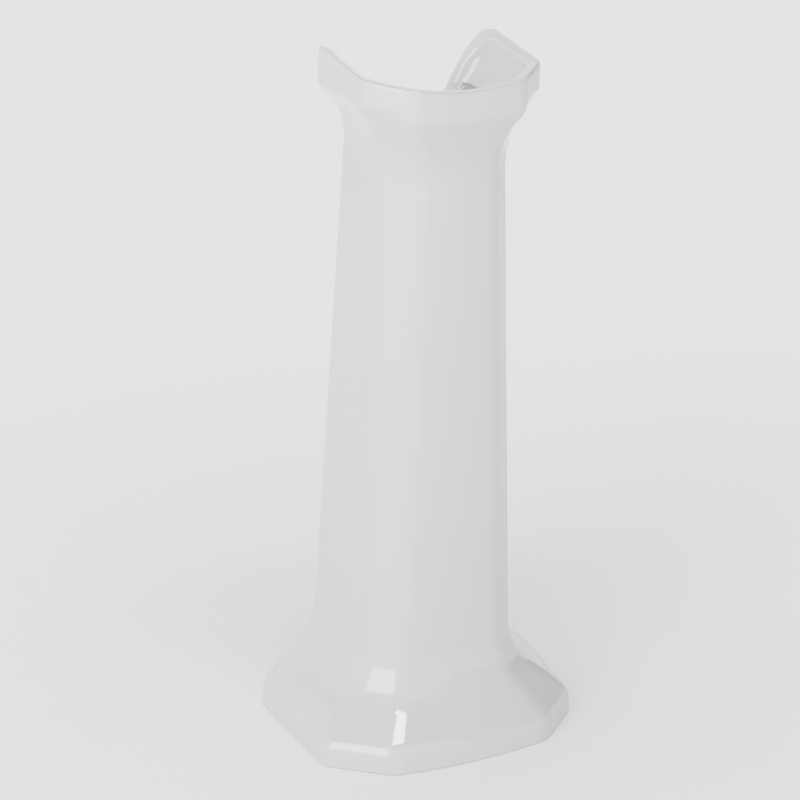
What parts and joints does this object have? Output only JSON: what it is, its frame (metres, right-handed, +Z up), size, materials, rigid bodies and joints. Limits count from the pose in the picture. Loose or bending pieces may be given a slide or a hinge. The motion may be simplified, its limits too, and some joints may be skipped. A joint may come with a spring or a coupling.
{
  "type": "washbasin pedestal",
  "caption": "Hollow vitreous china pedestal with a flared eight-sided foot, tapering column and saddle-shaped crown, open at the back for pipes and screwed to the floor through lugs.",
  "frame": {"origin": "on the floor, at the centre of the foot's overall width and depth", "axes": "+Z up, the front faces -Y, +X is to the right of someone who looks at its front"},
  "size_m": [0.274, 0.2196, 0.68],
  "materials": {
    "china": "glossy white glaze",
    "zinc": "bright zinc plate",
    "nylon": "natural nylon",
    "cap_plastic": "white satin"
  },
  "bodies": {
    "root": {"pedestal_casting": "china", "lug_bush_left": "nylon", "lug_bush_right": "nylon", "floor_washer_left": "zinc", "floor_washer_right": "zinc", "floor_screw_left": "zinc", "floor_screw_right": "zinc", "screw_cap_left": "cap_plastic", "screw_cap_right": "cap_plastic"}
  },
  "joints": []
}
